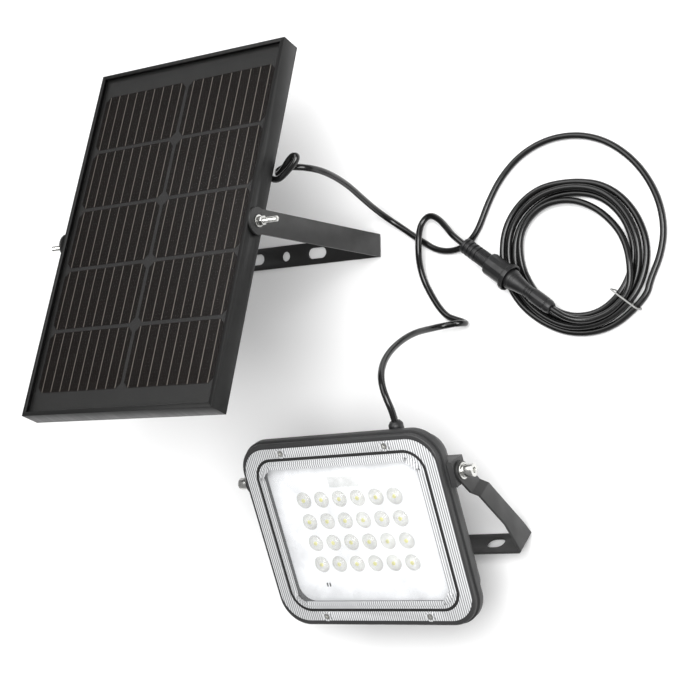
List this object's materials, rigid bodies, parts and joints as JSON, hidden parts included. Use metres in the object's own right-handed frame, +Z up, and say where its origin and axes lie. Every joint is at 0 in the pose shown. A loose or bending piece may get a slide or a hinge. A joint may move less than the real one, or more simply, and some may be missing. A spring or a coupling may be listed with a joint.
{
  "type": "solar flood light",
  "caption": "Framed solar panel tilting on a U bracket, joined by a cord and screwed connector to an LED flood lamp tilting on its own U bracket.",
  "frame": {"origin": "middle of the panel bracket's foot, on the floor plane, at the foot hole's axis", "axes": "+Z up; +X along the panel's pivot axis, towards the side where the cord leaves; +Y away from the lamp"},
  "size_m": [0.5415, 0.5275, 0.2537],
  "materials": {
    "panel_frame": "black anodised, satin",
    "glass_clear": "clear, low-iron",
    "cell_blue": "dark blue polycrystalline silicon under glass",
    "backsheet": "white film",
    "black_plastic": "black moulded plastic",
    "bracket_steel": "dark grey powder coat",
    "zinc": "bright zinc plate",
    "lamp_body": "black-grey powder coat on die-cast aluminium",
    "bezel": "black-grey powder coat",
    "cover_clear": "clear ribbed polycarbonate",
    "seal_black": "black silicone",
    "reflector": "white reflector",
    "lens_clear": "clear moulded lenses",
    "led_yellow": "yellow phosphor",
    "board": "white solder mask",
    "board_green": "green solder mask",
    "cell_wrap": "blue shrink wrap",
    "cord_black": "black cord jacket",
    "connector_black": "black nylon",
    "brass": "bare brass"
  },
  "bodies": {
    "stand": {"panel_bracket": "bracket_steel", "lamp_bracket": "bracket_steel", "panel_cord_drop": "cord_black", "panel_cord_run": "cord_black", "panel_cord_tail": "cord_black", "lamp_lead_drop": "cord_black", "lamp_lead_run": "cord_black", "panel_cord_coil": "cord_black", "coil_tie": "zinc", "plug_boot": "connector_black", "plug_body": "connector_black", "connector_seal": "seal_black", "socket_body": "connector_black", "socket_tail": "connector_black", "contact_pins": "brass"},
    "panel_head": {"frame_rail_left": "panel_frame", "frame_rail_right": "panel_frame", "frame_rail_low": "panel_frame", "frame_rail_high": "panel_frame", "frame_corner_keys": "panel_frame", "panel_glass": "glass_clear", "panel_backsheet": "backsheet", "solar_cells": "cell_blue", "junction_box": "black_plastic", "junction_box_lid": "black_plastic", "junction_gland_base": "black_plastic", "junction_gland_nut": "black_plastic", "pivot_rivet_nuts": "zinc", "panel_pivot_studs": "zinc", "panel_pivot_washers": "zinc", "panel_pivot_nuts": "zinc"},
    "lamp_head": {"lamp_housing": "lamp_body", "lamp_bezel": "bezel", "lamp_cover": "cover_clear", "cover_gasket": "seal_black", "cover_screws": "zinc", "reflector_plate": "reflector", "lens_domes": "lens_clear", "led_board": "board", "led_chips": "led_yellow", "remote_receiver": "black_plastic", "control_board": "board_green", "battery_cells": "cell_wrap", "battery_holder": "black_plastic", "lamp_gland_base": "black_plastic", "lamp_gland_nut": "black_plastic", "lug_inserts": "brass", "lamp_flat_washers": "zinc", "lamp_spring_washers": "zinc", "lamp_pivot_bolts": "zinc"},
    "nut": {"coupling_nut": "connector_black"}
  },
  "joints": [
    {"name": "panel_tilt", "type": "hinge", "parent": "stand", "child": "panel_head", "pos_m": [0, 0, 0.1915], "axis": [1, 0, 0], "range_deg": [-72, 107], "deforming": ["panel_cord_drop"]},
    {"name": "lamp_tilt", "type": "hinge", "parent": "stand", "child": "lamp_head", "pos_m": [0.14918, -0.22101, 0.10823], "axis": [0.9993, 0.0384, 0], "range_deg": [-110, 10], "deforming": ["lamp_lead_drop"]},
    {"name": "coupling_nut_turn", "type": "hinge", "parent": "stand", "child": "nut", "pos_m": [0.2173, -0.0116, 0.0195], "axis": [0.7988, -0.6016, 0], "continuous": true}
  ]
}
